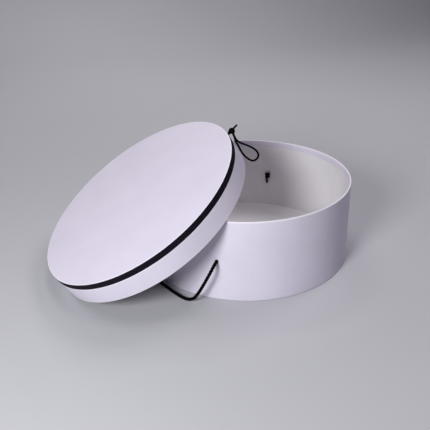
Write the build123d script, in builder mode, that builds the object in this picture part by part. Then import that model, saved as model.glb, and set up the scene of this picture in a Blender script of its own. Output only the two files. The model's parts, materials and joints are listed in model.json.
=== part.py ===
"""Round paper-covered hat box: the open box, its lid leaning on the rim, and the cords.

Frame: millimetres, +Z up, origin at the centre of the box's underside.
The lid leans towards -X, with its open side to the box and its foot on the floor.
Each piece is one solid in its own file.
"""

import os
from math import cos, pi, radians, sin, tan

from build123d import *

os.makedirs("parts", exist_ok=True)

# ---- sheet materials
BOARD = 1.8
PAPER = 0.4
WALL = BOARD + 2 * PAPER
FLOOR = BOARD + 3 * PAPER
TURN_IN = 12.0
TURN_UNDER = 14.0
BASE_PAPER_INSET = 6.0
TAPE = 0.3
TAPE_WIDTH = 26.0
BOARD_GAP = 0.6
STRIP_DEPTH = 4 * WALL

# ---- box
BOX_R = 190.0
BOX_H = 148.0
BOX_SEAM_AZ = 36.0
BOX_TAPE_STOP = 6.0
BOX_INNER_R = BOX_R - WALL
BOARD_IN_R = BOX_INNER_R + PAPER
BOARD_OUT_R = BOX_R - PAPER

# ---- lid, measured from its top face down its own axis
LID_R = 193.5
SKIRT = 46.0
LID_TILT = 31.77
RIM_GAP = 0.6
LID_INNER_R = LID_R - WALL
LID_BOARD_IN_R = LID_INNER_R + PAPER
LID_BOARD_OUT_R = LID_R - PAPER
LID_PLATE = BOARD + 2 * PAPER
LID_SEAM_AZ = 150.0
LID_TAPE_STOP = 4.0
BAND_TOP = 0.1
BAND_WIDTH = 11.2
BAND = 0.4

# ---- carry cord and its two punched holes
CORD_D = 6.0
CORD_HOLE_D = 6.6
CORD_AZ = -126.6
CORD_Z = 73.6
STOPPER_R = 7.4
STOPPER_TAIL = 18.0
STOPPER_INSET = 0.8 * STOPPER_R
TAIL_LEAN = 0.2

# ---- pull loop and the knot that ties it to the band, out from the skirt and down from the top
LOOP_D = 3.8
LOOP_AZ = -5.0
KNOT_OUT = 8.7
KNOT_DOWN = 4.9
KNOT_R = 6.6
TIE_D = 7.0
TAIL_D = 3.6
PIVOT_OUT = 7.4
PIVOT_DOWN = 14.0

# ---- a cord's arcs reach this share of the shorter run on each side
FILLET_SHARE = 0.45

# ---- where the lid leans: its underside on the rim at -X, its skirt's foot on the floor
slope = radians(LID_TILT)
lid_normal = Vector(-sin(slope), 0, cos(slope))
lid_uphill = Vector(cos(slope), 0, sin(slope))
rim_point = Vector(-BOX_R, 0, BOX_H + RIM_GAP)
foot_drop = SKIRT * cos(slope) + LID_R * sin(slope)
along = (foot_drop - rim_point.Z - LID_PLATE * cos(slope)) / sin(slope)
lid_centre = rim_point + lid_normal * LID_PLATE + lid_uphill * along

lid_top = Plane(origin=lid_centre, x_dir=lid_uphill, z_dir=lid_normal)
lid_section = Plane(origin=lid_centre, x_dir=lid_uphill, z_dir=(0, -1, 0))
lid_axis = Axis(lid_centre, lid_normal)

# the radial plane of the pull loop: x out from the skirt, y down it
loop_az = radians(LOOP_AZ)
loop_out = lid_uphill * cos(loop_az) + Vector(0, 1, 0) * sin(loop_az)
loop_origin = lid_centre + loop_out * LID_R
loop_plane = Plane(origin=loop_origin, x_dir=loop_out, z_dir=loop_out.cross(lid_normal * -1))

# the line through both cord holes
cord_out = Vector(cos(radians(CORD_AZ)), sin(radians(CORD_AZ)), 0)
hole_plane = Plane(origin=(0, 0, CORD_Z), x_dir=(0, 0, 1), z_dir=cord_out)


def save(piece, name):
    """Label a finished piece and write its file."""
    piece.part.label = name
    export_step(piece.part, f"parts/{name}.step")


def across_wall(radius, azimuth):
    """Where a strip that cuts across a ring's wall at one azimuth is placed."""
    return Location((radius * cos(radians(azimuth)), radius * sin(radians(azimuth))), azimuth)


# =====================================================================
# Box
# =====================================================================
base_top = FLOOR - PAPER
board_low = 2 * PAPER
rim_under = BOX_H - PAPER
turn_in_low = rim_under - TURN_IN
base_paper_r = BOX_R - BASE_PAPER_INSET
turned_under_r = BOX_R - TURN_UNDER

with BuildPart() as base_cover:
    with BuildSketch(Plane.XZ):
        with BuildLine():
            Polyline(
                (0, 0),
                (base_paper_r, 0),
                (base_paper_r, PAPER),
                (turned_under_r, PAPER),
                (turned_under_r, board_low),
                (0, board_low),
                close=True,
            )
        make_face()
    revolve(axis=Axis.Z)
save(base_cover, "base_cover")

with BuildPart() as base_board:
    with BuildSketch(Plane.XY.offset(board_low)):
        Circle(BOARD_IN_R)
    extrude(amount=BOARD)
save(base_board, "base_board")

with BuildPart() as base_lining:
    with BuildSketch(Plane.XY.offset(base_top)):
        Circle(BOARD_IN_R)
    extrude(amount=PAPER)
save(base_lining, "base_lining")

with BuildPart() as wall_seam_tape:
    with BuildSketch(Plane.XY.offset(FLOOR + BOX_TAPE_STOP)):
        Circle(BOARD_IN_R + TAPE)
        Circle(BOARD_IN_R, mode=Mode.SUBTRACT)
        with Locations(across_wall(BOARD_IN_R, BOX_SEAM_AZ)):
            Rectangle(STRIP_DEPTH, TAPE_WIDTH, mode=Mode.INTERSECT)
    extrude(amount=rim_under - FLOOR - 2 * BOX_TAPE_STOP)
save(wall_seam_tape, "wall_seam_tape")

with BuildPart() as wall_board:
    with BuildSketch(Plane.XY.offset(board_low)):
        Circle(BOARD_OUT_R)
        Circle(BOARD_IN_R, mode=Mode.SUBTRACT)
        with Locations(across_wall(BOARD_IN_R, BOX_SEAM_AZ)):
            Rectangle(STRIP_DEPTH, BOARD_GAP, mode=Mode.SUBTRACT)
    extrude(amount=rim_under - board_low)
    add(wall_seam_tape.part, mode=Mode.SUBTRACT)
    with BuildSketch(hole_plane):
        Circle(CORD_HOLE_D / 2)
    extrude(amount=BOX_R + WALL, both=True, mode=Mode.SUBTRACT)
save(wall_board, "wall_board")

with BuildPart() as wall_cover:
    with BuildSketch(Plane.XZ):
        with BuildLine():
            Polyline(
                (turned_under_r, PAPER),
                (BOX_R, PAPER),
                (BOX_R, BOX_H),
                (BOX_INNER_R, BOX_H),
                (BOX_INNER_R, turn_in_low),
                (BOARD_IN_R, turn_in_low),
                (BOARD_IN_R, rim_under),
                (BOARD_OUT_R, rim_under),
                (BOARD_OUT_R, board_low),
                (turned_under_r, board_low),
                close=True,
            )
        make_face()
    revolve(axis=Axis.Z)
    with BuildSketch(hole_plane):
        Circle(CORD_HOLE_D / 2)
    extrude(amount=BOX_R + WALL, both=True, mode=Mode.SUBTRACT)
save(wall_cover, "wall_cover")

with BuildPart() as wall_lining:
    with BuildSketch(Plane.XY.offset(FLOOR)):
        Circle(BOARD_IN_R)
        Circle(BOX_INNER_R, mode=Mode.SUBTRACT)
    extrude(amount=turn_in_low - FLOOR)
    with BuildSketch(hole_plane):
        Circle(CORD_HOLE_D / 2)
    extrude(amount=BOX_R + WALL, both=True, mode=Mode.SUBTRACT)
save(wall_lining, "wall_lining")

# =====================================================================
# Carry cord: out of the near hole, down to the floor, round the left of
# the box under the leaning lid, and up to the far hole
# =====================================================================
CORD_ROUTE = [
    (-111.8, -150.5, 73.6),
    (-121.2, -163.2, 73.6),
    (-132.0, -170.0, 63.0),
    (-140.5, -165.5, 44.0),
    (-148.5, -160.0, 25.5),
    (-155.5, -151.5, 9.5),
    (-164.0, -138.0, 3.0),
    (-176.0, -113.0, 3.0),
    (-189.5, -73.0, 3.0),
    (-201.5, -25.0, 3.0),
    (-201.0, 28.0, 3.0),
    (-186.0, 80.0, 3.0),
    (-157.0, 128.0, 3.0),
    (-118.0, 166.0, 3.0),
    (-72.0, 191.0, 3.0),
    (-22.0, 204.5, 3.0),
    (20.0, 207.0, 3.0),
    (57.0, 203.0, 3.0),
    (84.0, 197.5, 3.0),
    (100.5, 192.0, 9.5),
    (110.0, 188.0, 25.5),
    (117.0, 182.5, 44.0),
    (124.5, 175.5, 63.0),
    (121.2, 163.2, 73.6),
    (111.8, 150.5, 73.6),
]


def corner_radii(route):
    """One tangent-arc radius for each corner, a share of its shorter run."""
    points = [Vector(*point) for point in route]
    radii = []
    for before, here, after in zip(points, points[1:], points[2:]):
        shorter = min((here - before).length, (after - here).length)
        turn = radians((here - before).get_angle(after - here))
        radii.append(FILLET_SHARE * shorter / tan(turn / 2))
    return radii


def report_route(name, route, diameter, tube):
    """Print the runs, turns and arc radii, and the volume against the length."""
    points = [Vector(*point) for point in route]
    runs = [(b - a).length for a, b in zip(points, points[1:])]
    turns = [(b - a).get_angle(c - b) for a, b, c in zip(points, points[1:], points[2:])]
    print(name, "runs", [round(run, 1) for run in runs])
    print(name, "turns", [round(turn, 1) for turn in turns])
    print(name, "radii", [round(radius, 1) for radius in corner_radii(route)])
    print(name, "mean length", round(tube.volume / (pi * diameter**2 / 4), 1))


with BuildPart() as carry_cord:
    with BuildLine() as cord_line:
        FilletPolyline(*CORD_ROUTE, radius=corner_radii(CORD_ROUTE))
    with BuildSketch(Plane(origin=cord_line.line @ 0, z_dir=cord_line.line % 0)):
        Circle(CORD_D / 2)
    sweep()
save(carry_cord, "carry_cord")
report_route("carry_cord", CORD_ROUTE, CORD_D, carry_cord.part)
print("carry_cord line", round(cord_line.wires()[0].length, 1))

# Stopper knots inside the wall, flattened against the lining
for stopper_name, side in (("front_stopper_knot", 1), ("rear_stopper_knot", -1)):
    centre = cord_out * side * (BOX_INNER_R - STOPPER_INSET) + Vector(0, 0, CORD_Z)
    tail_way = cord_out * side * -TAIL_LEAN + Vector(0, 0, -1)
    with BuildPart() as stopper_knot:
        with Locations(centre):
            Sphere(STOPPER_R)
        Cylinder(BOX_INNER_R, 2 * BOX_H, mode=Mode.INTERSECT)
        with BuildSketch(Plane(origin=centre, z_dir=tail_way)):
            Circle(CORD_D / 2)
        extrude(amount=STOPPER_TAIL)
    save(stopper_knot, stopper_name)

# =====================================================================
# Lid, in its own section: x is the radius and y the height over its top
# =====================================================================
skirt_turn_low = -SKIRT + PAPER + TURN_IN
disc_under = -(LID_PLATE - PAPER)

with BuildPart() as top_cover:
    with BuildSketch(lid_top.offset(-PAPER)):
        Circle(LID_R)
    extrude(amount=PAPER)
save(top_cover, "top_cover")

with BuildPart() as top_board:
    with BuildSketch(lid_top.offset(disc_under)):
        Circle(LID_BOARD_IN_R)
    extrude(amount=BOARD)
save(top_board, "top_board")

with BuildPart() as top_lining:
    with BuildSketch(lid_top.offset(-LID_PLATE)):
        Circle(LID_BOARD_IN_R)
    extrude(amount=PAPER)
save(top_lining, "top_lining")

with BuildPart() as skirt_seam_tape:
    with BuildSketch(lid_top.offset(-SKIRT + LID_TAPE_STOP)):
        Circle(LID_BOARD_IN_R + TAPE)
        Circle(LID_BOARD_IN_R, mode=Mode.SUBTRACT)
        with Locations(across_wall(LID_BOARD_IN_R, LID_SEAM_AZ)):
            Rectangle(STRIP_DEPTH, TAPE_WIDTH, mode=Mode.INTERSECT)
    extrude(amount=SKIRT - LID_PLATE - 2 * LID_TAPE_STOP)
save(skirt_seam_tape, "skirt_seam_tape")

with BuildPart() as skirt_board:
    with BuildSketch(lid_top.offset(-SKIRT + PAPER)):
        Circle(LID_BOARD_OUT_R)
        Circle(LID_BOARD_IN_R, mode=Mode.SUBTRACT)
        with Locations(across_wall(LID_BOARD_IN_R, LID_SEAM_AZ)):
            Rectangle(STRIP_DEPTH, BOARD_GAP, mode=Mode.SUBTRACT)
    extrude(amount=SKIRT - 2 * PAPER)
    add(skirt_seam_tape.part, mode=Mode.SUBTRACT)
save(skirt_board, "skirt_board")

with BuildPart() as skirt_cover:
    with BuildSketch(lid_section):
        with BuildLine():
            Polyline(
                (LID_BOARD_OUT_R, -PAPER),
                (LID_R, -PAPER),
                (LID_R, -SKIRT),
                (LID_INNER_R, -SKIRT),
                (LID_INNER_R, skirt_turn_low),
                (LID_BOARD_IN_R, skirt_turn_low),
                (LID_BOARD_IN_R, -SKIRT + PAPER),
                (LID_BOARD_OUT_R, -SKIRT + PAPER),
                close=True,
            )
        make_face()
    revolve(axis=lid_axis)
save(skirt_cover, "skirt_cover")

with BuildPart() as skirt_lining:
    with BuildSketch(lid_top.offset(skirt_turn_low)):
        Circle(LID_BOARD_IN_R)
        Circle(LID_INNER_R, mode=Mode.SUBTRACT)
    extrude(amount=-skirt_turn_low - LID_PLATE)
save(skirt_lining, "skirt_lining")

with BuildPart() as ribbon_band:
    with BuildSketch(lid_top.offset(-BAND_TOP - BAND_WIDTH)):
        Circle(LID_R + BAND)
        Circle(LID_R, mode=Mode.SUBTRACT)
    extrude(amount=BAND_WIDTH)
save(ribbon_band, "ribbon_band")

# =====================================================================
# Knot on the band, its two cut ends, and the pull loop
# =====================================================================
def on_loop_plane(out, down, aside=0.0):
    """A point given by its distance out from the skirt, down from the top and aside."""
    return loop_plane.from_local_coords(Vector(out, down, aside))


knot_centre = on_loop_plane(KNOT_OUT, KNOT_DOWN)

with BuildPart() as loop_knot:
    with Locations(knot_centre):
        Sphere(KNOT_R)
    with BuildSketch(Plane(origin=on_loop_plane(BAND, KNOT_DOWN), z_dir=loop_out)):
        Circle(TIE_D / 2)
    extrude(amount=KNOT_OUT - BAND)
save(loop_knot, "loop_knot")

KNOT_TAILS = [
    ("knot_tail_upper", (12.5, 3.8, 1.6), (22.4, 1.7, 2.0)),
    ("knot_tail_lower", (12.0, 2.6, -2.4), (16.8, -0.8, -3.2)),
]
for tail_name, start, end in KNOT_TAILS:
    root = on_loop_plane(*start)
    tip = on_loop_plane(*end)
    with BuildPart() as knot_tail:
        with BuildSketch(Plane(origin=root, z_dir=tip - root)):
            Circle(TAIL_D / 2)
        extrude(amount=(tip - root).length)
        add(loop_knot.part, mode=Mode.SUBTRACT)
    save(knot_tail, tail_name)

# The loop's route: out from the skirt, down from the top face, and aside
LOOP_ROUTE = [
    (PIVOT_OUT, PIVOT_DOWN, 2),
    (7, 20, 2),
    (7, 27, 1.5),
    (10, 34, 1),
    (15, 41.5, 0.5),
    (20, 50, 0),
    (24, 59, 0),
    (26, 68, 0),
    (24, 76, 0),
    (17, 80, 0),
    (10, 78, 0),
    (6, 71, 0),
    (3, 61, 0),
    (2.5, 51, -0.5),
    (3, 42, -1),
    (4, 34, -1.5),
    (4, 27, -2),
    (5, 20, -2),
    (PIVOT_OUT, PIVOT_DOWN, -2),
]
loop_points = [tuple(on_loop_plane(*point)) for point in LOOP_ROUTE]

with BuildPart() as pull_loop:
    with BuildLine() as loop_line:
        FilletPolyline(*loop_points, radius=corner_radii(loop_points))
    with BuildSketch(Plane(origin=loop_line.line @ 0, z_dir=loop_line.line % 0)):
        Circle(LOOP_D / 2)
    sweep()
    with Locations(loop_points[0], loop_points[-1]):
        Sphere(LOOP_D / 2)
save(pull_loop, "pull_loop")
report_route("pull_loop", loop_points, LOOP_D, pull_loop.part)
print("pull_loop line", round(loop_line.wires()[0].length, 1))

# ---- the lid's swing: from leaning to level over the box, about one line
LEVEL_LIFT = 32.0
level_centre = Vector(0, 0, BOX_H + SKIRT + LEVEL_LIFT)
chord = level_centre - lid_centre
reach = 0.5 / tan(slope / 2)
pole = (lid_centre + level_centre) * 0.5 + Vector(chord.Z, 0, -chord.X) * reach
print("lid centre", lid_centre, "pole", pole)
print("loop pivot", on_loop_plane(PIVOT_OUT, PIVOT_DOWN), "axis", loop_plane.z_dir)
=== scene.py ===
import json
import math

import bmesh
import bpy
import numpy as np
from mathutils import Matrix, Vector


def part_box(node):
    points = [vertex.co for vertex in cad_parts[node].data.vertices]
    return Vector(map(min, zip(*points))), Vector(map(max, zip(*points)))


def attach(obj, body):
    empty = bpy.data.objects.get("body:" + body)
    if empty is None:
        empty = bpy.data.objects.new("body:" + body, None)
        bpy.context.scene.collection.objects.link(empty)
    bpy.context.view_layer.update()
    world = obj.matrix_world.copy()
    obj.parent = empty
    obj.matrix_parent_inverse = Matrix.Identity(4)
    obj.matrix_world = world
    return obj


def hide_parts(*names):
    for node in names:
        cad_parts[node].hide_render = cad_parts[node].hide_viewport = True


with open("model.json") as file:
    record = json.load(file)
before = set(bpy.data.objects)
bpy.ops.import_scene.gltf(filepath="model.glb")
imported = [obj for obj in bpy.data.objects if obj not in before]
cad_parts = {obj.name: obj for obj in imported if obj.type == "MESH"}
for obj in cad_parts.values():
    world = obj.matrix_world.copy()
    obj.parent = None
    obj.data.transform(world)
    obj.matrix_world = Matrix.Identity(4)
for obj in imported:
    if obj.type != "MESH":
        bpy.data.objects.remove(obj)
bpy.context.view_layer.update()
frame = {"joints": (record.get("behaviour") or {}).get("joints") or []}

MM = 0.001
TURN = 2 * math.pi

# ---------------------------------------------------------------- sizes, as in the CAD, in metres
BOARD = 1.8 * MM
PAPER = 0.4 * MM
WALL = BOARD + 2 * PAPER
FLOOR = BOARD + 3 * PAPER
PLATE = BOARD + 2 * PAPER
TURN_IN = 12 * MM
TAPE = 0.3 * MM
TAPE_HALF = 13 * MM
HOLE_R = 3.3 * MM
BOX_SEAM = math.radians(36)
LID_SEAM = math.radians(150)
BAND = 0.4 * MM
CORD_R = 3.0 * MM
LOOP_R = 1.9 * MM
TAIL_R = 1.8 * MM
STOPPER_CORD_R = 2.45 * MM
STRANDS = 3
STRAND_CREASE = 60
KNOT_STEP = 1.62
FOLD_R = 0.9 * MM
TURNED_UNDER = 14 * MM

wall_low, wall_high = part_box("wall_cover")
BOX_R = (wall_high.y - wall_low.y) / 2
BOX_H = wall_high.z
BOX_IN = BOX_R - WALL
BOARD_IN = BOX_IN + PAPER
BOARD_OUT = BOX_R - PAPER

top_low, top_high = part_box("top_cover")
LID_R = (top_high.y - top_low.y) / 2
LID_IN = LID_R - WALL
LID_BOARD_IN = LID_IN + PAPER
LID_BOARD_OUT = LID_R - PAPER
SKIRT = 46 * MM

# the lid's own frame: x uphill, y across, z out of its top face
tilt = math.radians(next(j for j in frame["joints"] if j["name"] == "lid_swing")["range_deg"][1])
lid_normal = Vector((-math.sin(tilt), 0, math.cos(tilt)))
lid_uphill = Vector((math.cos(tilt), 0, math.sin(tilt)))
lid_centre = (top_low + top_high) / 2 + lid_normal * (PAPER / 2)
LID = Matrix((lid_uphill, (0, 1, 0), lid_normal)).transposed().to_4x4()
LID.translation = lid_centre
BOX = Matrix.Identity(4)

# where the loop hangs round the lid, and where the cord's holes are round the box
LOOP_AZ = math.radians(-5)
CORD_AZ = math.radians(-126.6)
CORD_Z = 73.6 * MM


# ================================================================ camera
def make_camera():
    data = bpy.data.cameras.new("camera")
    data.sensor_width = 36
    data.lens = 52.06
    azimuth, elevation, roll = (math.radians(d) for d in (-18.808, 26.569, -1.512))
    back = Vector((
        math.sin(azimuth) * math.cos(elevation),
        -math.cos(azimuth) * math.cos(elevation),
        math.sin(elevation),
    ))
    level = Vector((math.cos(azimuth), math.sin(azimuth), 0))
    lift = back.cross(level)
    right = level * math.cos(roll) + lift * math.sin(roll)
    up = lift * math.cos(roll) - level * math.sin(roll)
    camera = bpy.data.objects.new("camera", data)
    camera.matrix_world = Matrix((right, up, back)).transposed().to_4x4()
    camera.location = (-0.39537, -0.97879, 0.59494)
    data.clip_start = 0.05
    data.clip_end = 50
    bpy.context.scene.collection.objects.link(camera)
    bpy.context.scene.camera = camera


make_camera()


# ================================================================ mesh code
class Sheet:
    """Gathers points, faces and each face's place on the unrolled material."""

    def __init__(self):
        self.points = []
        self.faces = []
        self.flat = []

    def add(self, points):
        start = len(self.points)
        self.points.extend(tuple(p) for p in points)
        return start

    def face(self, corners, flat):
        self.faces.append(tuple(int(c) for c in corners))
        self.flat.extend((float(a), float(b)) for a, b in flat)

    def make(self, name, material, place=BOX, crease=35):
        mesh = bpy.data.meshes.new(name)
        mesh.from_pydata(self.points, [], self.faces)
        layer = mesh.uv_layers.new(name="flat")
        layer.data.foreach_set("uv", np.array(self.flat, dtype=np.float32).ravel())
        mesh.transform(place)
        shape = bmesh.new()
        shape.from_mesh(mesh)
        bmesh.ops.recalc_face_normals(shape, faces=shape.faces)
        shape.to_mesh(mesh)
        shape.free()
        mesh.polygons.foreach_set("use_smooth", [True] * len(mesh.polygons))
        mesh.set_sharp_from_angle(angle=math.radians(crease))
        mesh.materials.append(material)
        piece = bpy.data.objects.new(name, mesh)
        bpy.context.scene.collection.objects.link(piece)
        return piece


def lengths_along(points):
    """How far along an open path each point lies."""
    steps = np.linalg.norm(np.diff(points, axis=0), axis=1)
    return np.concatenate([[0], np.cumsum(steps)])


def arc(centre, radius, start, end, steps=6):
    """Points of an arc in a profile, in degrees from outwards, up."""
    turns = np.radians(np.linspace(start, end, steps + 1))
    return [(centre[0] + radius * math.cos(t), centre[1] + radius * math.sin(t)) for t in turns]


def run(start, end, step):
    """Points from start up to, but not with, end, about a step apart."""
    start, end = np.array(start, float), np.array(end, float)
    count = max(1, int(round(np.linalg.norm(end - start) / step)))
    return [tuple(start + (end - start) * k / count) for k in range(count)]


def turned(profile, azimuths, shift=None, closed=True, holes=(), whole=True):
    """A sheet made by turning a profile of (radius, height) points round the z axis.

    shift(azimuth, radius, height) gives how far out and up each point moves.
    holes are (azimuth, height, radius, half window) punched through its upright faces.
    """
    sheet = Sheet()
    profile = np.array(profile, float)
    azimuths = np.array(azimuths, float)
    rows, columns = len(profile), len(azimuths)
    at, radius = np.meshgrid(azimuths, profile[:, 0])
    height = np.repeat(profile[:, 1][:, None], columns, axis=1)
    if shift is not None:
        outward, upward = shift(at, radius, height)
        radius, height = radius + outward * (radius > 0), height + upward
    grid = np.stack([radius * np.cos(at), radius * np.sin(at), height], axis=-1)
    sheet.add(grid.reshape(-1, 3))
    lengths = lengths_along(np.vstack([profile, profile[:1]]))
    size = profile[:, 0].max()
    across = np.append(azimuths, azimuths[0] + TURN) * size
    windows = [hole_window(profile, azimuths, hole) for hole in holes]
    for j in range(rows if closed else rows - 1):
        k = (j + 1) % rows
        for i in range(columns if whole else columns - 1):
            if any(j in window["rows"] and i in window["columns"] for window in windows):
                continue
            m = (i + 1) % columns
            corners = [j * columns + i, j * columns + m, k * columns + m, k * columns + i]
            flat = [
                (across[i], lengths[j]), (across[i + 1], lengths[j]),
                (across[i + 1], lengths[j + 1]), (across[i], lengths[j + 1]),
            ]
            if profile[j, 0] == 0:
                corners, flat = [j * columns] + corners[2:], [flat[0]] + flat[2:]
            elif profile[k, 0] == 0:
                corners, flat = corners[:2] + [k * columns], flat[:3]
            sheet.face(corners, flat)
    for window in windows:
        punch(sheet, profile, azimuths, lengths, size, window)
    return sheet


def hole_window(profile, azimuths, hole):
    """The rows and columns that a hole's patch takes the place of."""
    azimuth, height, _, half = hole
    middle = int(np.argmin(np.abs(np.angle(np.exp(1j * (azimuths - azimuth))))))
    sides = []
    level = np.abs(profile[:, 1] - height) < half + 1e-6
    j = 0
    while j < len(profile):
        if level[j]:
            end = j
            while end + 1 < len(profile) and level[end + 1]:
                end += 1
            sides.append((j, end))
            j = end
        j += 1
    columns = set((middle + c) % len(azimuths) for c in range(-3, 3))
    return {
        "hole": hole, "middle": middle, "sides": sides, "columns": columns,
        "rows": set(j for a, b in sides for j in range(a, b)),
    }


# each ring round a hole: its size, how far it spreads to the window's edge, how far it is pressed in
HOLE_RINGS = ((1, 0, 1), (1.07, 0, 0.55), (1.2, 0, 0.15), (1.45, 0, 0), (1.7, 0.35, 0))


def punch(sheet, profile, azimuths, lengths, size, window):
    """Fills a hole's window with rings round the hole, on each upright face, and lines the hole."""
    azimuth, height, radius, _ = window["hole"]
    count = len(azimuths)
    lips = []
    for first, last in window["sides"]:
        ordered = list(range(first, last + 1))
        if profile[first, 1] > profile[last, 1]:
            ordered = ordered[::-1]
        cols = [(window["middle"] + c) % count for c in range(-3, 4)]
        border = [(ordered[0], c) for c in cols[:-1]]
        border += [(j, cols[-1]) for j in ordered[:-1]]
        border += [(ordered[-1], c) for c in cols[::-1][:-1]]
        border += [(j, cols[0]) for j in ordered[::-1][:-1]]
        reach = []
        for j, c in border:
            swing = np.angle(np.exp(1j * (azimuths[c] - azimuth)))
            reach.append((swing * BOX_R, profile[j, 1] - height))
        reach = np.array(reach)
        ways = reach / np.linalg.norm(reach, axis=1)[:, None]
        wide = profile[first, 0]
        outward = 1 if len(lips) == 0 else -1
        loops = []
        for grown, spread, pressed in HOLE_RINGS:
            flat_points = ways * radius * grown * (1 - spread) + reach * spread
            turns = azimuth + flat_points[:, 0] / BOX_R
            drawn_in = wide - pressed * 0.18 * MM * outward
            points = np.stack([
                drawn_in * np.cos(turns), drawn_in * np.sin(turns), height + flat_points[:, 1],
            ], 1)
            start = sheet.add(points)
            loops.append(([start + k for k in range(len(border))], flat_points))
        loops.append(([j * count + c for j, c in border], reach))
        for (inner, inner_flat), (outer, outer_flat) in zip(loops, loops[1:]):
            for k in range(len(border)):
                m = (k + 1) % len(border)
                base = lengths[ordered[0]] - profile[ordered[0], 1]
                flat = [
                    (azimuth * size + p[0], base + height + p[1])
                    for p in (inner_flat[k], inner_flat[m], outer_flat[m], outer_flat[k])
                ]
                sheet.face([inner[k], inner[m], outer[m], outer[k]], flat)
        lips.append(loops[0])
    if len(lips) == 2:
        (front, front_flat), (back, _) = lips
        for k in range(len(front)):
            m = (k + 1) % len(front)
            flat = [(p[0], p[1]) for p in (front_flat[k], front_flat[m], front_flat[m], front_flat[k])]
            sheet.face([front[k], front[m], back[m], back[k]], flat)


def waves(azimuth, height, scale, seed, terms=7, turns=(2, 26), lean=18):
    """A slow, even unevenness round a wall: sines whose phases come from a fixed seed."""
    draw = np.random.default_rng(seed)
    total = np.zeros_like(azimuth)
    for term in range(terms):
        around = draw.integers(*turns)
        rise = draw.uniform(-1, 1) * lean
        phase = draw.uniform(0, TURN)
        total += np.sin(around * azimuth + rise * height + phase) / (1 + around * 0.12)
    return total * scale / terms


def round_azimuths(count=360, first=CORD_AZ, seams=()):
    """Even azimuths round a wall with one at first, and pairs close together at seams."""
    turns = [first + TURN * k / count for k in range(count)]
    for seam in seams:
        near = min(range(count), key=lambda k: abs(math.remainder(turns[k] - seam, TURN)))
        whole = turns[near] + math.remainder(seam - turns[near], TURN)
        turns += [whole - 0.00045, whole + 0.00045]
    return sorted(set(turns))


def lap(azimuth, start, width, height):
    """How far out a paper wrap stands where its end lies over its start."""
    into = np.mod(azimuth - start, TURN)
    gone = np.clip((into - width) / (width * 0.6), 0, 1)
    standing = (into < TURN - 0.0001) * (into <= width * 1.6)
    return height * standing * np.where(into <= width, 1.0, 1 - gone)


def paint_edge_highlight(piece, place, edges, reach=1.1 * MM):
    """Marks the points near (radius, height) edges, where the paper gets a pale painted highlight."""
    back = np.array(place.inverted())
    points = np.array([vertex.co for vertex in piece.data.vertices]) @ back[:3, :3].T + back[:3, 3]
    radius = np.hypot(points[:, 0], points[:, 1])
    gap = np.min([np.hypot(radius - r, points[:, 2] - z) for r, z in edges], axis=0)
    # the point attribute holds how strongly the painted edge highlight shows
    layer = piece.data.attributes.new("painted_edge_highlight", "FLOAT", "POINT")
    layer.data.foreach_set("value", np.clip(1.2 - gap / reach, 0, 1).astype(np.float32))


# ================================================================ materials
def new_material(name):
    material = bpy.data.materials.new(name)
    material.use_nodes = True
    tree = material.node_tree
    tree.nodes.clear()
    out = tree.nodes.new("ShaderNodeOutputMaterial")
    shader = tree.nodes.new("ShaderNodeBsdfPrincipled")
    tree.links.new(shader.outputs[0], out.inputs[0])
    return material, tree, shader


def node(tree, kind, inputs=(), **settings):
    made = tree.nodes.new(kind)
    for key, value in settings.items():
        setattr(made, key, value)
    for socket, value in dict(inputs).items():
        if hasattr(value, "is_output"):
            tree.links.new(value, made.inputs[socket])
        else:
            made.inputs[socket].default_value = value
    return made


def flat_coordinates(tree, scale=(1, 1, 1), turn=0.0):
    """The place on the unrolled material, in metres, stretched by scale."""
    where = node(tree, "ShaderNodeUVMap", uv_map="flat")
    return node(tree, "ShaderNodeMapping", {
        "Vector": where.outputs[0], "Scale": scale, "Rotation": (0, 0, turn),
    }).outputs[0]


def noise(tree, vector, scale, detail=4.0, rough=0.55, dims="2D"):
    return node(tree, "ShaderNodeTexNoise", {
        "Vector": vector, "Scale": scale, "Detail": detail, "Roughness": rough,
    }, noise_dimensions=dims).outputs["Fac"]


def ramp(tree, value, stops):
    made = node(tree, "ShaderNodeValToRGB", {"Fac": value})
    elements = made.color_ramp.elements
    while len(elements) < len(stops):
        elements.new(0.5)
    for element, (position, colour) in zip(elements, stops):
        element.position = position
        element.color = (*colour, 1) if len(colour) == 3 else colour
    return made.outputs["Color"]


def mix(tree, factor, a, b, blend="MIX"):
    made = node(tree, "ShaderNodeMix", data_type="RGBA", blend_type=blend)
    for index, value in ((0, factor), (6, a), (7, b)):
        if hasattr(value, "is_output"):
            tree.links.new(value, made.inputs[index])
        elif index == 0:
            made.inputs[index].default_value = value
        else:
            made.inputs[index].default_value = (*value, 1)
    return made.outputs[2]


def math_node(tree, operation, a, b=0.0):
    made = node(tree, "ShaderNodeMath", operation=operation)
    for index, value in ((0, a), (1, b)):
        if hasattr(value, "is_output"):
            tree.links.new(value, made.inputs[index])
        else:
            made.inputs[index].default_value = value
    return made.outputs[0]


def blend(tree, *parts):
    """Two (pattern, share) pairs added together."""
    first, second = (math_node(tree, "MULTIPLY", pattern, share) for pattern, share in parts)
    return math_node(tree, "ADD", first, second)


def bump(tree, shader, height, distance, strength=1.0):
    made = node(tree, "ShaderNodeBump", {"Height": height, "Distance": distance, "Strength": strength})
    tree.links.new(made.outputs[0], shader.inputs["Normal"])


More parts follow.
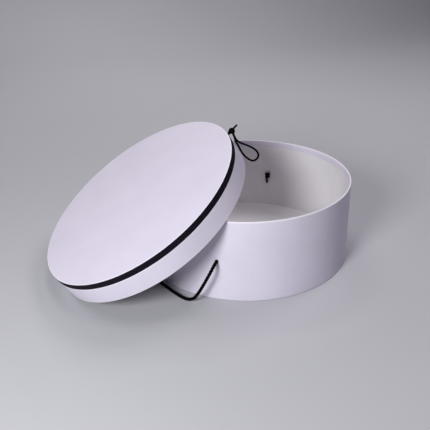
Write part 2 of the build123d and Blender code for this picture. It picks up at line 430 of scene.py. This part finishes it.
def paper_material(name, light, dark, rough, grain, streak=1.0):
    """Paper glued over board: faint mottling, fibres and long grain, all very low in contrast, and a pale
    painted highlight along marked edges.
    """
    material, tree, shader = new_material(name)
    along = flat_coordinates(tree, (900, 55, 1))
    cloud = noise(tree, flat_coordinates(tree), 14, 3, 0.5)
    grain_lines = noise(tree, along, 1, 3, 0.6)
    fibres = noise(tree, flat_coordinates(tree, (1, 1, 1), 0.4), 1900, 4, 0.7)
    tone = blend(tree, (cloud, 0.5), (grain_lines, 0.3 * streak))
    tone = math_node(tree, "ADD", tone, math_node(tree, "MULTIPLY", fibres, 0.2))
    colour = ramp(tree, tone, [(0.3, dark), (0.62, light)])
    # painted highlight: the colour turns near-white along the marked edges, standing in for light caught on
    # them
    edge_highlight_share = node(tree, "ShaderNodeAttribute", attribute_name="painted_edge_highlight").outputs["Fac"]
    colour = mix(tree, edge_highlight_share, colour, (0.93, 0.90, 0.95))
    tree.links.new(colour, shader.inputs["Base Color"])
    shine = ramp(tree, fibres, [(0.25, (rough - 0.05,) * 3), (0.75, (rough + 0.06,) * 3)])
    tree.links.new(shine, shader.inputs["Roughness"])
    shader.inputs["Specular IOR Level"].default_value = 0.35
    height = blend(tree, (fibres, 0.5), (grain_lines, 0.5))
    bump(tree, shader, height, grain, 0.5)
    return material


def board_material():
    """Grey chipboard: soft flecks of dark and light fibre."""
    material, tree, shader = new_material("grey_board")
    flecks = noise(tree, flat_coordinates(tree), 1400, 5, 0.8)
    cloud = noise(tree, flat_coordinates(tree), 60, 3)
    tone = blend(tree, (flecks, 0.7), (cloud, 0.3))
    colour = ramp(tree, tone, [
        (0.3, (0.27, 0.25, 0.22)), (0.5, (0.47, 0.44, 0.40)), (0.7, (0.60, 0.57, 0.52)),
    ])
    tree.links.new(colour, shader.inputs["Base Color"])
    shader.inputs["Roughness"].default_value = 0.92
    shader.inputs["Specular IOR Level"].default_value = 0.2
    bump(tree, shader, flecks, 0.0001, 0.8)
    return material


def tape_material():
    """Brown gummed paper tape: long kraft fibres."""
    material, tree, shader = new_material("gummed_tape")
    fibres = noise(tree, flat_coordinates(tree, (2200, 260, 1)), 1, 4, 0.7)
    colour = ramp(tree, fibres, [(0.3, (0.33, 0.23, 0.13)), (0.7, (0.54, 0.41, 0.27))])
    tree.links.new(colour, shader.inputs["Base Color"])
    shader.inputs["Roughness"].default_value = 0.6
    bump(tree, shader, fibres, 0.00005, 0.6)
    return material


def ribbon_material():
    """Black ribbed ribbon: weft ribs come from the mesh, the fine warp from a bump."""
    material, tree, shader = new_material("black_ribbon")
    warp = node(tree, "ShaderNodeTexWave", {
        "Vector": flat_coordinates(tree, (1, 2600, 1)), "Scale": 1.0, "Distortion": 0.4, "Detail": 1.0,
    }, wave_type="BANDS", bands_direction="Y").outputs["Fac"]
    patches = noise(tree, flat_coordinates(tree, (300, 900, 1)), 1, 3)
    colour = ramp(tree, patches, [(0.3, (0.0085, 0.0057, 0.0118)), (0.7, (0.0130, 0.0095, 0.0175))])
    tree.links.new(colour, shader.inputs["Base Color"])
    shader.inputs["Roughness"].default_value = 0.55
    shader.inputs["Specular IOR Level"].default_value = 0.04
    shader.inputs["Sheen Weight"].default_value = 0.01
    shader.inputs["Sheen Roughness"].default_value = 0.4
    bump(tree, shader, warp, 0.00006, 0.5)
    return material


def cord_material(name, yarns):
    """Black twisted cord: the strands come from the mesh, the fine yarns from slanted waves."""
    material, tree, shader = new_material(name)
    yarn = node(tree, "ShaderNodeTexWave", {
        "Vector": flat_coordinates(tree, (yarns, yarns * 1.1, 1), 0.55),
        "Scale": 1.0, "Distortion": 0.8, "Detail": 2.0,
    }, wave_type="BANDS", bands_direction="Y").outputs["Fac"]
    fuzz = noise(tree, flat_coordinates(tree), 2600, 4, 0.7)
    tone = blend(tree, (yarn, 0.6), (fuzz, 0.4))
    colour = ramp(tree, tone, [(0.25, (0.0008, 0.0007, 0.0009)), (0.8, (0.0030, 0.0027, 0.0031))])
    tree.links.new(colour, shader.inputs["Base Color"])
    shader.inputs["Roughness"].default_value = 0.55
    shader.inputs["Specular IOR Level"].default_value = 0.04
    shader.inputs["Sheen Weight"].default_value = 0.01
    shader.inputs["Sheen Roughness"].default_value = 0.45
    bump(tree, shader, tone, 0.0001, 0.7)
    return material


COVER = paper_material("lavender_paper", (0.745, 0.695, 0.820), (0.700, 0.652, 0.775), 0.62, 0.00005)
LINING = paper_material("lining_paper", (0.80, 0.775, 0.80), (0.755, 0.73, 0.755), 0.75, 0.00005, 0.6)
GREY = board_material()
KRAFT = tape_material()
RIBBON = ribbon_material()
CORD = cord_material("carry_cord_yarn", 1900)
LINE = cord_material("loop_cord_yarn", 3200)


# ================================================================ cords
CORD_ROUTE = [
    (-0.1118, -0.1505, 0.0736), (-0.1212, -0.1632, 0.0736), (-0.1320, -0.1700, 0.0630),
    (-0.1405, -0.1655, 0.0440), (-0.1485, -0.1600, 0.0255), (-0.1555, -0.1515, 0.0095),
    (-0.1640, -0.1380, 0.0030), (-0.1760, -0.1130, 0.0030), (-0.1895, -0.0730, 0.0030),
    (-0.2015, -0.0250, 0.0030), (-0.2010, 0.0280, 0.0030), (-0.1860, 0.0800, 0.0030),
    (-0.1570, 0.1280, 0.0030), (-0.1180, 0.1660, 0.0030), (-0.0720, 0.1910, 0.0030),
    (-0.0220, 0.2045, 0.0030), (0.0200, 0.2070, 0.0030), (0.0570, 0.2030, 0.0030),
    (0.0840, 0.1975, 0.0030), (0.1005, 0.1920, 0.0095), (0.1100, 0.1880, 0.0255),
    (0.1170, 0.1825, 0.0440), (0.1245, 0.1755, 0.0630), (0.1212, 0.1632, 0.0736),
    (0.1118, 0.1505, 0.0736),
]

# the pull loop in the loop's plane, in millimetres: out of the skirt, down from the top face, aside
PIVOT_OUT = 7.4
PIVOT_DOWN = 14.0
LOOP_ROUTE = [
    (PIVOT_OUT, PIVOT_DOWN, 2),
    (7, 20, 2),
    (7, 27, 1.5),
    (10, 34, 1),
    (15, 41.5, 0.5),
    (20, 50, 0),
    (24, 59, 0),
    (26, 68, 0),
    (24, 76, 0),
    (17, 80, 0),
    (10, 78, 0),
    (6, 71, 0),
    (3, 61, 0),
    (2.5, 51, -0.5),
    (3, 42, -1),
    (4, 34, -1.5),
    (4, 27, -2),
    (5, 20, -2),
    (PIVOT_OUT, PIVOT_DOWN, -2),
]


def smooth_line(name, route, step):
    """Points about a step apart on the NURBS spline whose control points are the route."""
    curve = bpy.data.curves.new(name + "_line", "CURVE")
    curve.dimensions = "3D"
    spline = curve.splines.new("NURBS")
    spline.points.add(len(route) - 1)
    for point, place in zip(spline.points, route):
        point.co = (*place, 1)
    spline.order_u = 3
    spline.use_endpoint_u = True
    spline.resolution_u = 24
    holder = bpy.data.objects.new(name + "_line", curve)
    bpy.context.scene.collection.objects.link(holder)
    mesh = bpy.data.meshes.new_from_object(holder)
    points = np.array([v.co for v in mesh.vertices], float)
    bpy.data.objects.remove(holder)
    bpy.data.curves.remove(curve)
    bpy.data.meshes.remove(mesh)
    along = lengths_along(points)
    even = np.linspace(0, along[-1], max(8, int(along[-1] / step)))
    return np.stack([np.interp(even, along, points[:, k]) for k in range(3)], axis=1)


def carried_frames(points):
    """A tangent and two sideways directions at each point, carried along without twist."""
    tangents = np.gradient(points, axis=0)
    tangents /= np.linalg.norm(tangents, axis=1)[:, None]
    start = np.cross(tangents[0], (0.13, 0.31, 0.94))
    side = start / np.linalg.norm(start)
    sides = []
    for tangent in tangents:
        side = side - tangent * np.dot(side, tangent)
        side /= np.linalg.norm(side)
        sides.append(side)
    sides = np.array(sides)
    return tangents, sides, np.cross(tangents, sides)


def strand_outline(around):
    """The outline of the strands lying together, as a share of the cord's radius."""
    reach, strand = 0.42, 0.58
    part = TURN / STRANDS
    off = np.mod(around + part / 2, part) - part / 2
    return reach * np.cos(off) + np.sqrt(np.maximum(strand**2 - (reach * np.sin(off)) ** 2, 0))


def twisted(points, radius, pitch, sides=30, ends=(1.0, 1.0)):
    """A laid cord along points: strands twist round it once a pitch, and its ends close."""
    sheet = Sheet()
    _, one, two = carried_frames(points)
    along = lengths_along(points)
    around = np.linspace(0, TURN, sides, endpoint=False)
    rounding = radius * 0.8
    rows = []
    for k in range(len(points)):
        twist = TURN * along[k] / pitch
        rim = strand_outline(around - twist)
        share = 1.0
        for edge, keep in ((along[k], ends[0]), (along[-1] - along[k], ends[1])):
            if edge < rounding:
                share *= keep + (1 - keep) * math.sqrt(max(0, 1 - (1 - edge / rounding) ** 2))
        ring = points[k] + radius * share * rim[:, None] * (
            np.cos(around)[:, None] * one[k] + np.sin(around)[:, None] * two[k]
        )
        rows.append(sheet.add(ring))
    size = radius * TURN
    for k in range(len(points) - 1):
        for i in range(sides):
            m = (i + 1) % sides
            flat = [
                (along[k], i / sides * size), (along[k], (i + 1) / sides * size),
                (along[k + 1], (i + 1) / sides * size), (along[k + 1], i / sides * size),
            ]
            sheet.face([rows[k] + i, rows[k] + m, rows[k + 1] + m, rows[k + 1] + i], flat)
    for start, centre in ((rows[0], points[0]), (rows[-1], points[-1])):
        middle = sheet.add([centre])
        for i in range(sides):
            m = (i + 1) % sides
            flat = [(0, 0), (i / sides * size, 0.001), ((i + 1) / sides * size, 0.001)]
            sheet.face([middle, start + i, start + m], flat)
    return sheet


def knot_line(radius, thick, steps=150, cut=0.03):
    """The line of an overhand knot, opened at one place, in its own frame."""
    t = np.linspace(cut * TURN, (1 - cut) * TURN, steps)
    x = (2 + np.cos(3 * t)) * np.cos(2 * t)
    y = (2 + np.cos(3 * t)) * np.sin(2 * t)
    z = np.sin(3 * t) * thick
    return np.stack([x, y, z], axis=1) * radius


def carry_cord():
    line = smooth_line("carry_cord", CORD_ROUTE, 0.8 * MM)
    piece = twisted(line, CORD_R, 17 * MM, 36).make("carry_cord_rope", CORD, crease=STRAND_CREASE)
    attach(piece, "box")
    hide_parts("carry_cord")
    return piece, line


def stopper(name, side, node_name):
    """An overhand knot drawn up against the lining, with a cut end that hangs down."""
    out = Vector((math.cos(CORD_AZ), math.sin(CORD_AZ), 0)) * side
    centre = out * (BOX_IN - 6.2 * MM) + Vector((0, 0, CORD_Z))
    across = Vector((0, 0, 1)).cross(out)
    place = Matrix((across, (0, 0, 1), out)).transposed().to_4x4()
    place.translation = centre
    knot = knot_line(KNOT_STEP * MM, 1.25)
    entry = np.array([[0, 0, 6.0], [0.2, 0.4, 4.2], [1.4, 1.0, 3.0]]) * MM
    leave = np.array([
        [2.0, -2.4, 0.5], [1.6, -6.0, -0.4], [1.2, -10.0, 0.2], [0.9, -14.0, 1.0], [0.6, -18.5, 1.6],
    ]) * MM
    route = np.vstack([entry, knot[::6], leave])
    route = [tuple(place @ Vector(p)) for p in route]
    line = smooth_line(name, route, 0.7 * MM)
    piece = twisted(line, STOPPER_CORD_R, 15 * MM, 24, (1.0, 0.55)).make(name, CORD, crease=STRAND_CREASE)
    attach(piece, "box")
    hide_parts(node_name)
    return piece


rope, rope_line = carry_cord()
stoppers = [
    stopper("stopper_knot_front", 1, "front_stopper_knot"),
    stopper("stopper_knot_rear", -1, "rear_stopper_knot"),
]


def loop_frame():
    """The loop's plane as a frame: x out of the skirt, y down it, z aside."""
    out = lid_uphill * math.cos(LOOP_AZ) + Vector((0, 1, 0)) * math.sin(LOOP_AZ)
    down = -lid_normal
    place = Matrix((out, down, out.cross(down))).transposed().to_4x4()
    place.translation = lid_centre + out * LID_R
    return place


def pull_loop():
    place = loop_frame()
    route = [tuple(place @ (Vector(point) * MM)) for point in LOOP_ROUTE]
    line = smooth_line("pull_loop", route, 0.45 * MM)
    piece = twisted(line, LOOP_R, 8 * MM, 30).make("pull_loop_cord", LINE, crease=STRAND_CREASE)
    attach(piece, "loop")
    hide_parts("pull_loop")


pull_loop()

# ================================================================ the box
HOLES = ((CORD_AZ, CORD_Z, HOLE_R, 9.9 * MM), (CORD_AZ + math.pi, CORD_Z, HOLE_R, 9.9 * MM))
HOLE_ROWS = [CORD_Z + 3.3 * MM * k for k in range(-3, 4)]
OUTER_LAP = math.radians(63)
LINING_LAP = math.radians(118)


def wall_rows(low, high, step):
    """Heights up a wall, with rows that fit the holes' windows."""
    below = np.arange(low, HOLE_ROWS[0] - step * 0.4, step)
    above = np.arange(high, HOLE_ROWS[-1] + step * 0.4, -step)[::-1]
    return list(below) + HOLE_ROWS + list(above)


def box_outer_paper():
    """The outer wrap: turned under the base, up the wall, over the rim and down inside it."""
    soft = FOLD_R
    low, rim = PAPER, BOX_H
    hem = rim - PAPER - TURN_IN
    turned_under = BOX_R - TURNED_UNDER
    profile = run((turned_under, low), (BOX_R - soft, low), 3 * MM)
    profile += arc((BOX_R - soft, low + soft), soft, -90, 0)
    profile += [(BOX_R, z) for z in wall_rows(low + soft + 4 * MM, rim - soft - 3 * MM, 6 * MM)]
    profile += arc((BOX_R - soft, rim - soft), soft, 0, 90)
    profile += arc((BOX_IN + soft, rim - soft), soft, 90, 180)
    profile += [(BOX_IN, rim - 4 * MM), (BOX_IN, rim - 8 * MM), (BOX_IN, hem), (BOARD_IN, hem)]
    profile += [(BOARD_IN, rim - 8 * MM), (BOARD_IN, rim - 4 * MM)]
    profile += arc((BOARD_IN + soft, rim - PAPER - soft), soft, 180, 90)
    profile += arc((BOARD_OUT - soft, rim - PAPER - soft), soft, 90, 0)
    profile += [(BOARD_OUT, z) for z in wall_rows(low + PAPER + 4 * MM, rim - soft - 3 * MM, 6 * MM)[::-1]]
    profile += [(BOARD_OUT, low + PAPER), (turned_under, low + PAPER)]

    def shift(at, radius, height):
        outside = np.clip((radius - BOARD_OUT + 0.05 * MM) / (0.35 * MM), 0, 1)
        outward = waves(at, height, 0.10 * MM, 11) * outside
        outward += waves(at, height, 1.0 * MM, 13, turns=(28, 72), lean=4) * outside
        outward += lap(at, OUTER_LAP, math.radians(4.2), 0.22 * MM) * outside
        under = (height < low + 0.05 * MM) & (radius < BOX_R - 2 * MM)
        pleats = np.abs(np.sin(at * 31)) ** 6 * 0.3 * MM
        hem_edge = (np.abs(height - hem) < 1e-6)
        upward = under * pleats + hem_edge * waves(at, height, 1.4 * MM, 12)
        return outward, upward

    sheet = turned(profile, round_azimuths(seams=(OUTER_LAP,)), shift, holes=HOLES)
    piece = sheet.make("box_outer_paper", COVER)
    # painted highlight along the box's rim edges
    paint_edge_highlight(piece, BOX, [(BOX_R, rim), (BOX_IN, rim), ((BOX_R + BOX_IN) / 2, rim)])
    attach(piece, "box")
    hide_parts("wall_cover")


def box_wall_lining():
    top = BOX_H - PAPER - TURN_IN
    rows = wall_rows(FLOOR + 4 * MM, top - 3 * MM, 6 * MM)
    heights = [FLOOR, FLOOR + 0.5 * MM] + rows + [top]
    profile = [(BOARD_IN, z) for z in heights] + [(BOX_IN, z) for z in heights[::-1]]

    def shift(at, radius, height):
        inside = (radius < BOX_IN + 0.1 * MM) * 1.0
        over = lap(at, LINING_LAP, math.radians(4), 0.16 * MM)
        outward = (waves(at, height, 0.08 * MM, 21) - over) * inside
        return outward - 0.05 * MM * inside, np.zeros_like(at)

    sheet = turned(profile, round_azimuths(seams=(LINING_LAP,)), shift, holes=HOLES)
    piece = sheet.make("box_wall_lining", LINING)
    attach(piece, "box")
    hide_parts("wall_lining")


def disc(name, radius, low, high, material, place=BOX, soft=0.12 * MM, top_wave=0.0, seed=3):
    """A flat disc of sheet material with a softened edge and a slight unevenness."""
    profile = [(0, low)] + run((8 * MM, low), (radius - soft, low), 9 * MM)
    profile += arc((radius - soft, low + soft), soft, -90, 0, 3)
    profile += arc((radius - soft, high - soft), soft, 0, 90, 3)
    profile += run((radius - 2 * MM, high), (8 * MM, high), 9 * MM) + [(8 * MM, high), (0, high)]

    def shift(at, across, height):
        upper = height > (low + high) / 2
        x, y = across * np.cos(at), across * np.sin(at)
        uneven = np.sin(x * 31 + seed) * np.cos(y * 23 - seed) * 0.6 + np.sin(x * 57 - y * 49) * 0.4
        fade = np.clip((radius - across) / (6 * MM), 0, 1)
        return np.zeros_like(at), upper * uneven * top_wave * fade

    sheet = turned(profile, round_azimuths(240), shift, closed=False)
    return sheet.make(name, material, place)


def disc_flat_map(piece, place=BOX):
    """Lays a disc's flat coordinates straight across it instead of round it."""
    back = np.array(place.inverted())
    mesh = piece.data
    points = np.array([v.co for v in mesh.vertices])
    local = points @ back[:3, :3].T + back[:3, 3]
    corner = np.zeros(len(mesh.loops), dtype=np.int32)
    mesh.loops.foreach_get("vertex_index", corner)
    mesh.uv_layers["flat"].data.foreach_set("uv", local[corner][:, :2].astype(np.float32).ravel())


def box_discs():
    across = BOARD_IN - 0.3 * MM
    floor = disc("box_floor_lining", across, FLOOR - PAPER, FLOOR, LINING, top_wave=0.10 * MM)
    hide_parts("base_lining")
    board = disc("box_base_board", BOARD_IN, 2 * PAPER, 2 * PAPER + BOARD, GREY)
    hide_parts("base_board")
    under = disc("box_underside_paper", BOX_R - 6 * MM, 0, PAPER, COVER)
    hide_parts("base_cover")
    for piece in (floor, board, under):
        disc_flat_map(piece)
        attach(piece, "box")


def split_tube(name, inner, outer, low, high, seam, gap, tape_low, place=BOX, holes=(), rows=None):
    """A board ring whose ends almost meet at a seam, with a shallow bed for its tape."""
    rows = rows if rows is not None else list(np.arange(low + 5 * MM, high - 4 * MM, 6 * MM))
    soft = 0.2 * MM
    profile = [(inner + soft, low), (outer - soft, low), (outer, low + soft)] + [(outer, z) for z in rows]
    profile += [(outer, high - soft), (outer - soft, high), (inner + soft, high), (inner, high - soft)]
    profile += [(inner, z) for z in rows[::-1]] + [(inner, low + soft)]
    half_gap = gap / 2 / inner
    bed = (TAPE_HALF + 0.3 * MM) / inner
    step = TURN / 360
    first = CORD_AZ
    turns = [first + step * k for k in range(-360, 361)]
    begin = seam + half_gap
    while begin > first + step:
        begin -= TURN
    turns = [t for t in turns if begin + 0.004 < t < begin + TURN - 2 * half_gap - 0.004]
    finish = begin + TURN - 2 * half_gap
    ends = [begin, begin + 0.002, finish - 0.002, finish]
    beds = [begin + bed - 0.0006, begin + bed + 0.0006, finish - bed - 0.0006, finish - bed + 0.0006]
    turns = sorted(turns + ends + beds)

    def shift(at, radius, height):
        near = np.abs(np.angle(np.exp(1j * (at - seam)))) < bed
        inside = radius < inner + 0.01 * MM
        level = (height > tape_low) * (height < high - 4 * MM)
        return near * inside * level * TAPE * 0.95, np.zeros_like(at)

    sheet = turned(profile, turns, shift, holes=holes, whole=False)
    columns = len(turns)
    for i in (0, columns - 1):
        corners = [j * columns + i for j in range(len(profile))]
        sheet.face(corners, [(p[0], p[1]) for p in profile])
    return sheet.make(name, GREY, place)


def tape_strip(name, inner, low, high, seam, place=BOX):
    """A strip of gummed tape over a board's seam, its corners a little frayed."""
    sheet = Sheet()
    half = TAPE_HALF / inner
    across = np.linspace(-half, half, 24)
    heights = np.linspace(low, high, 30)
    draw = np.random.default_rng(7)
    torn = draw.uniform(-0.25, 0.25, len(across)) * MM
    layers = []
    for depth in (0.02 * MM, TAPE * 0.95):
        rows = []
        for j, z in enumerate(heights):
            edge = (1 if j == len(heights) - 1 else -1 if j == 0 else 0)
            ring = [
                ((inner + depth) * math.cos(seam + a), (inner + depth) * math.sin(seam + a),
                 z + edge * torn[i])
                for i, a in enumerate(across)
            ]
            rows.append(sheet.add(ring))
        layers.append(rows)
    count = len(across)
    for rows in layers:
        for j in range(len(heights) - 1):
            for i in range(count - 1):
                around = ((i, j), (i + 1, j), (i + 1, j + 1), (i, j + 1))
                flat = [(across[a] * inner, heights[b]) for a, b in around]
                sheet.face([rows[b] + a for a, b in around], flat)
    front, back = layers
    edge_flat = [(0, 0), (MM, 0), (MM, MM), (0, MM)]
    for i in range(count - 1):
        for j in (0, len(heights) - 1):
            sheet.face([front[j] + i, front[j] + i + 1, back[j] + i + 1, back[j] + i], edge_flat)
    for j in range(len(heights) - 1):
        for i in (0, count - 1):
            sheet.face([front[j] + i, front[j + 1] + i, back[j + 1] + i, back[j] + i], edge_flat)
    return sheet.make(name, KRAFT, place)


def box_boards():
    rows = wall_rows(2 * PAPER + 5 * MM, BOX_H - PAPER - 4 * MM, 6 * MM)
    board = split_tube(
        "box_wall_board", BOARD_IN, BOARD_OUT, 2 * PAPER, BOX_H - PAPER, BOX_SEAM, 0.6 * MM,
        FLOOR + 4 * MM, holes=HOLES, rows=rows,
    )
    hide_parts("wall_board")
    tape = tape_strip("box_wall_tape", BOARD_IN, FLOOR + 6 * MM, BOX_H - PAPER - 6 * MM, BOX_SEAM)
    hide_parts("wall_seam_tape")
    for piece in (board, tape):
        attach(piece, "box")


box_outer_paper()
box_wall_lining()
box_discs()
box_boards()

# ================================================================ the lid
LID_WRAP_LAP = math.radians(160)
LID_LINING_LAP = math.radians(-70)


def lid_top_paper():
    piece = disc("lid_top_paper", LID_R, -PAPER, 0, COVER, LID, soft=0.19 * MM, top_wave=0.12 * MM, seed=5)
    disc_flat_map(piece, LID)
    # painted highlight along the lid top's edge, above the ribbon
    paint_edge_highlight(piece, LID, [(LID_R, -PAPER / 2)], 1.6 * MM)
    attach(piece, "lid")
    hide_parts("top_cover")


def lid_skirt_paper():
    """The skirt's wrap: down from the top's edge, round the open edge and up inside it."""
    soft = FOLD_R
    low = -SKIRT
    hem = low + PAPER + TURN_IN
    profile = [(LID_BOARD_OUT, -PAPER), (LID_R, -PAPER), (LID_R, -PAPER - 1 * MM)]
    profile += [(LID_R, -z * MM) for z in (6, 11, 12, 13, 16, 21, 26, 31, 36, 41)]
    profile += arc((LID_R - soft, low + soft), soft, 0, -90)
    profile += arc((LID_IN + soft, low + soft), soft, -90, -180)
    profile += [(LID_IN, low + 5 * MM), (LID_IN, hem), (LID_BOARD_IN, hem), (LID_BOARD_IN, low + 5 * MM)]
    profile += arc((LID_BOARD_IN + soft, low + PAPER + soft), soft, 180, 270)
    profile += arc((LID_BOARD_OUT - soft, low + PAPER + soft), soft, -90, 0)
    profile += [(LID_BOARD_OUT, -z * MM) for z in range(41, 4, -5)]

    def shift(at, radius, height):
        outside = np.clip((radius - LID_BOARD_OUT - 0.05 * MM) / (0.3 * MM), 0, 1)
        outside = outside * (height < -11.5 * MM)
        outward = waves(at, height, 0.08 * MM, 31) * outside
        outward += waves(at, height, 0.8 * MM, 33, turns=(28, 72), lean=4) * outside
        outward += lap(at, LID_WRAP_LAP, math.radians(4), 0.2 * MM) * outside
        hem_edge = (np.abs(height - hem) < 1e-6)
        return outward, hem_edge * waves(at, height, 1.2 * MM, 32)

    sheet = turned(profile, round_azimuths(360, 0.0, (LID_WRAP_LAP,)), shift)
    piece = sheet.make("lid_skirt_paper", COVER, LID)
    # painted highlight along the skirt's open edge and just below the ribbon
    paint_edge_highlight(piece, LID, [(LID_R, low), (LID_IN, low), ((LID_R + LID_IN) / 2, low), (LID_R, -12 * MM)])
    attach(piece, "lid")
    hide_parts("skirt_cover")


def lid_linings():
    hem = -SKIRT + PAPER + TURN_IN
    heights = list(np.linspace(hem, -PLATE, 8))
    profile = [(LID_BOARD_IN, z) for z in heights] + [(LID_IN, z) for z in heights[::-1]]

    def shift(at, radius, height):
        inside = (radius < LID_IN + 0.1 * MM) * 1.0
        over = lap(at, LID_LINING_LAP, math.radians(4), 0.15 * MM)
        return (waves(at, height, 0.07 * MM, 41) - over) * inside, np.zeros_like(at)

    sheet = turned(profile, round_azimuths(360, 0.0, (LID_LINING_LAP,)), shift)
    wall = sheet.make("lid_skirt_lining", LINING, LID)
    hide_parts("skirt_lining")
    under = disc("lid_top_lining", LID_BOARD_IN - 0.3 * MM, -PLATE, -PLATE + PAPER, LINING, LID)
    disc_flat_map(under, LID)
    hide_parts("top_lining")
    for piece in (wall, under):
        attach(piece, "lid")


def lid_boards():
    board = disc("lid_top_board", LID_BOARD_IN - 0.1 * MM, -PAPER - BOARD, -PAPER, GREY, LID)
    disc_flat_map(board, LID)
    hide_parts("top_board")
    ring = split_tube(
        "lid_skirt_board", LID_BOARD_IN, LID_BOARD_OUT, -SKIRT + PAPER, -PAPER, LID_SEAM, 0.6 * MM,
        -SKIRT + 3.9 * MM, LID,
    )
    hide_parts("skirt_board")
    tape = tape_strip("lid_skirt_tape", LID_BOARD_IN, -SKIRT + 4 * MM, -PLATE - 4 * MM, LID_SEAM, LID)
    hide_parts("skirt_seam_tape")
    for piece in (board, ring, tape):
        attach(piece, "lid")


def ribbon_band():
    """The ribbon round the skirt: fine upright ribs, with firmer edges."""
    ribs = 1100
    columns = ribs * 4
    azimuths = np.linspace(0, TURN, columns, endpoint=False) + LOOP_AZ
    top, low = -0.15 * MM, -11.25 * MM
    inner, outer = LID_R + 0.02 * MM, LID_R + BAND * 0.85
    heights = [top - z * MM for z in (0, 0.12, 0.6, 0.9, 3.5, 7)]
    heights += [low + z * MM for z in (0.9, 0.6, 0.12, 0)]
    profile = [(inner, top)] + [(outer, z) for z in heights] + [(inner, low), (inner, (top + low) / 2)]

    def shift(at, radius, height):
        face = (radius > inner + 0.1 * MM) * 1.0
        edge = np.minimum(top - height, height - low)
        rib = np.cos(ribs * (at - LOOP_AZ)) * 0.06 * MM * np.clip(edge / (0.6 * MM), 0.25, 1)
        body = np.where(edge < 0.7 * MM, 0.02 * MM, 0.0)
        rounded = np.where(edge < 0.05 * MM, -0.12 * MM, 0.0)
        wander = waves(at, height * 0, 0.35 * MM, 51)
        return (rib + body + rounded) * face, wander

    piece = turned(profile, azimuths, shift).make("ribbon_band_woven", RIBBON, LID, crease=75)
    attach(piece, "lid")
    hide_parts("ribbon_band")


def line_piece(name, route, radius, pitch, ends, place):
    """A piece of the loop's cord along a route in millimetres in the frame of place."""
    route = [tuple(place @ (Vector(p) * MM)) for p in route]
    line = smooth_line(name, route, 0.4 * MM)
    return twisted(line, radius, pitch, 24, ends).make(name, LINE, crease=STRAND_CREASE)


def loop_knot():
    """The knot on the band: an overhand knot drawn tight and its tie to the band."""
    place = loop_frame()
    knot = knot_line(KNOT_STEP, 1.6)
    turn = Matrix.Rotation(math.radians(25), 3, "X") @ Matrix.Rotation(math.radians(30), 3, "Y")
    lump = [np.array(turn @ Vector(p)) + (8.9, 4.8, 0.0) for p in knot[::5]]
    entry = [(7.4, 14.2, 2.0), (7.9, 11.0, 1.7)]
    leave = [(8.3, 11.0, -1.7), (7.4, 14.2, -2.0)]
    route = entry + [tuple(p) for p in lump] + leave
    body = line_piece("loop_knot_overhand", route, LOOP_R, 8 * MM, (1, 1), place)
    tie = line_piece("loop_knot_tie", [
        (9.0, 3.0, 1.6), (6, 3.6, 2.4), (2.8, 4.8, 1.9), (1.1, 5.8, 0.7),
        (1.0, 6.0, -0.8), (2.8, 5.2, -2.0), (6, 4.0, -2.4), (9.0, 3.2, -1.6),
    ], TAIL_R, 7 * MM, (1, 1), place)
    for piece in (body, tie):
        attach(piece, "lid")
    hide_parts("loop_knot")


def knot_tails():
    place = loop_frame()
    upper = [(10.4, 4.4, 0.9), (12.6, 3.9, 1.5), (15.6, 3.2, 1.7), (18.8, 2.6, 1.9), (22.4, 1.7, 2.0)]
    lower = [(10.2, 3.8, -1.4), (12.2, 2.4, -2.4), (14.6, 0.8, -2.9), (16.8, -0.8, -3.2)]
    for name, route, node_name in (
        ("knot_end_upper", upper, "knot_tail_upper"), ("knot_end_lower", lower, "knot_tail_lower"),
    ):
        piece = line_piece(name, route, TAIL_R, 9 * MM, (1, 0.6), place)
        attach(piece, "lid")
        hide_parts(node_name)


lid_top_paper()
lid_skirt_paper()
lid_linings()
lid_boards()
ribbon_band()
loop_knot()
knot_tails()


# ================================================================ floor and light
def stage():
    material, tree, shader = new_material("studio_floor")
    cloud = noise(tree, node(tree, "ShaderNodeTexCoord").outputs["Object"], 1.2, 2, 0.5, "3D")
    colour = ramp(tree, cloud, [(0.3, (0.490, 0.490, 0.520)), (0.7, (0.510, 0.510, 0.540))])
    tree.links.new(colour, shader.inputs["Base Color"])
    shader.inputs["Roughness"].default_value = 0.9
    sheet = Sheet()
    depth = [(-4.0, 0.0), (1.6, 0.0)]
    depth += [(1.6 + 1.2 * math.sin(t), 1.2 - 1.2 * math.cos(t)) for t in np.linspace(0.1, math.pi / 2, 14)]
    depth += [(2.8, 4.0)]
    start = sheet.add([(x, y, z) for y, z in depth for x in (-5.0, 5.0)])
    for j in range(len(depth) - 1):
        a = start + 2 * j
        sheet.face([a, a + 1, a + 3, a + 2], [(0, 0), (1, 0), (1, 1), (0, 1)])
    floor = sheet.make("studio_floor", material)


def area_light(name, place, target, size, power, colour=(1, 1, 1)):
    data = bpy.data.lights.new(name, "AREA")
    data.shape = "DISK"
    data.size = size
    data.energy = power
    data.color = colour
    lamp = bpy.data.objects.new(name, data)
    lamp.location = place
    lamp.rotation_mode = "QUATERNION"
    lamp.rotation_quaternion = (Vector(target) - Vector(place)).to_track_quat("-Z", "Y")
    bpy.context.scene.collection.objects.link(lamp)


def lights():
    target = (-0.1, 0, 0.1)
    area_light("key", (-1.05, -1.02, 0.8), target, 0.5, 19.8, (0.965, 0.984, 0.975))
    area_light("top", (0.0, -0.4, 2.0), target, 0.8, 5.8, (1.0, 0.955, 0.97))
    area_light("right", (1.2, 0.3, 1.8), target, 1.0, 12.5, (1.0, 0.96, 1.0))
    area_light("back", (0.1, 1.7, 1.2), target, 1.2, 3.5)
    area_light("backdrop", (0.0, 1.3, 2.4), (0.0, 3.0, 0.6), 1.2, 20)
    world = bpy.data.worlds.new("studio")
    world.use_nodes = True
    glow = world.node_tree.nodes["Background"]
    glow.inputs[0].default_value = (0.90, 0.84, 1.35, 1)
    glow.inputs[1].default_value = 0.036
    bpy.context.scene.world = world
    bpy.context.scene.view_settings.view_transform = "Standard"


stage()
lights()
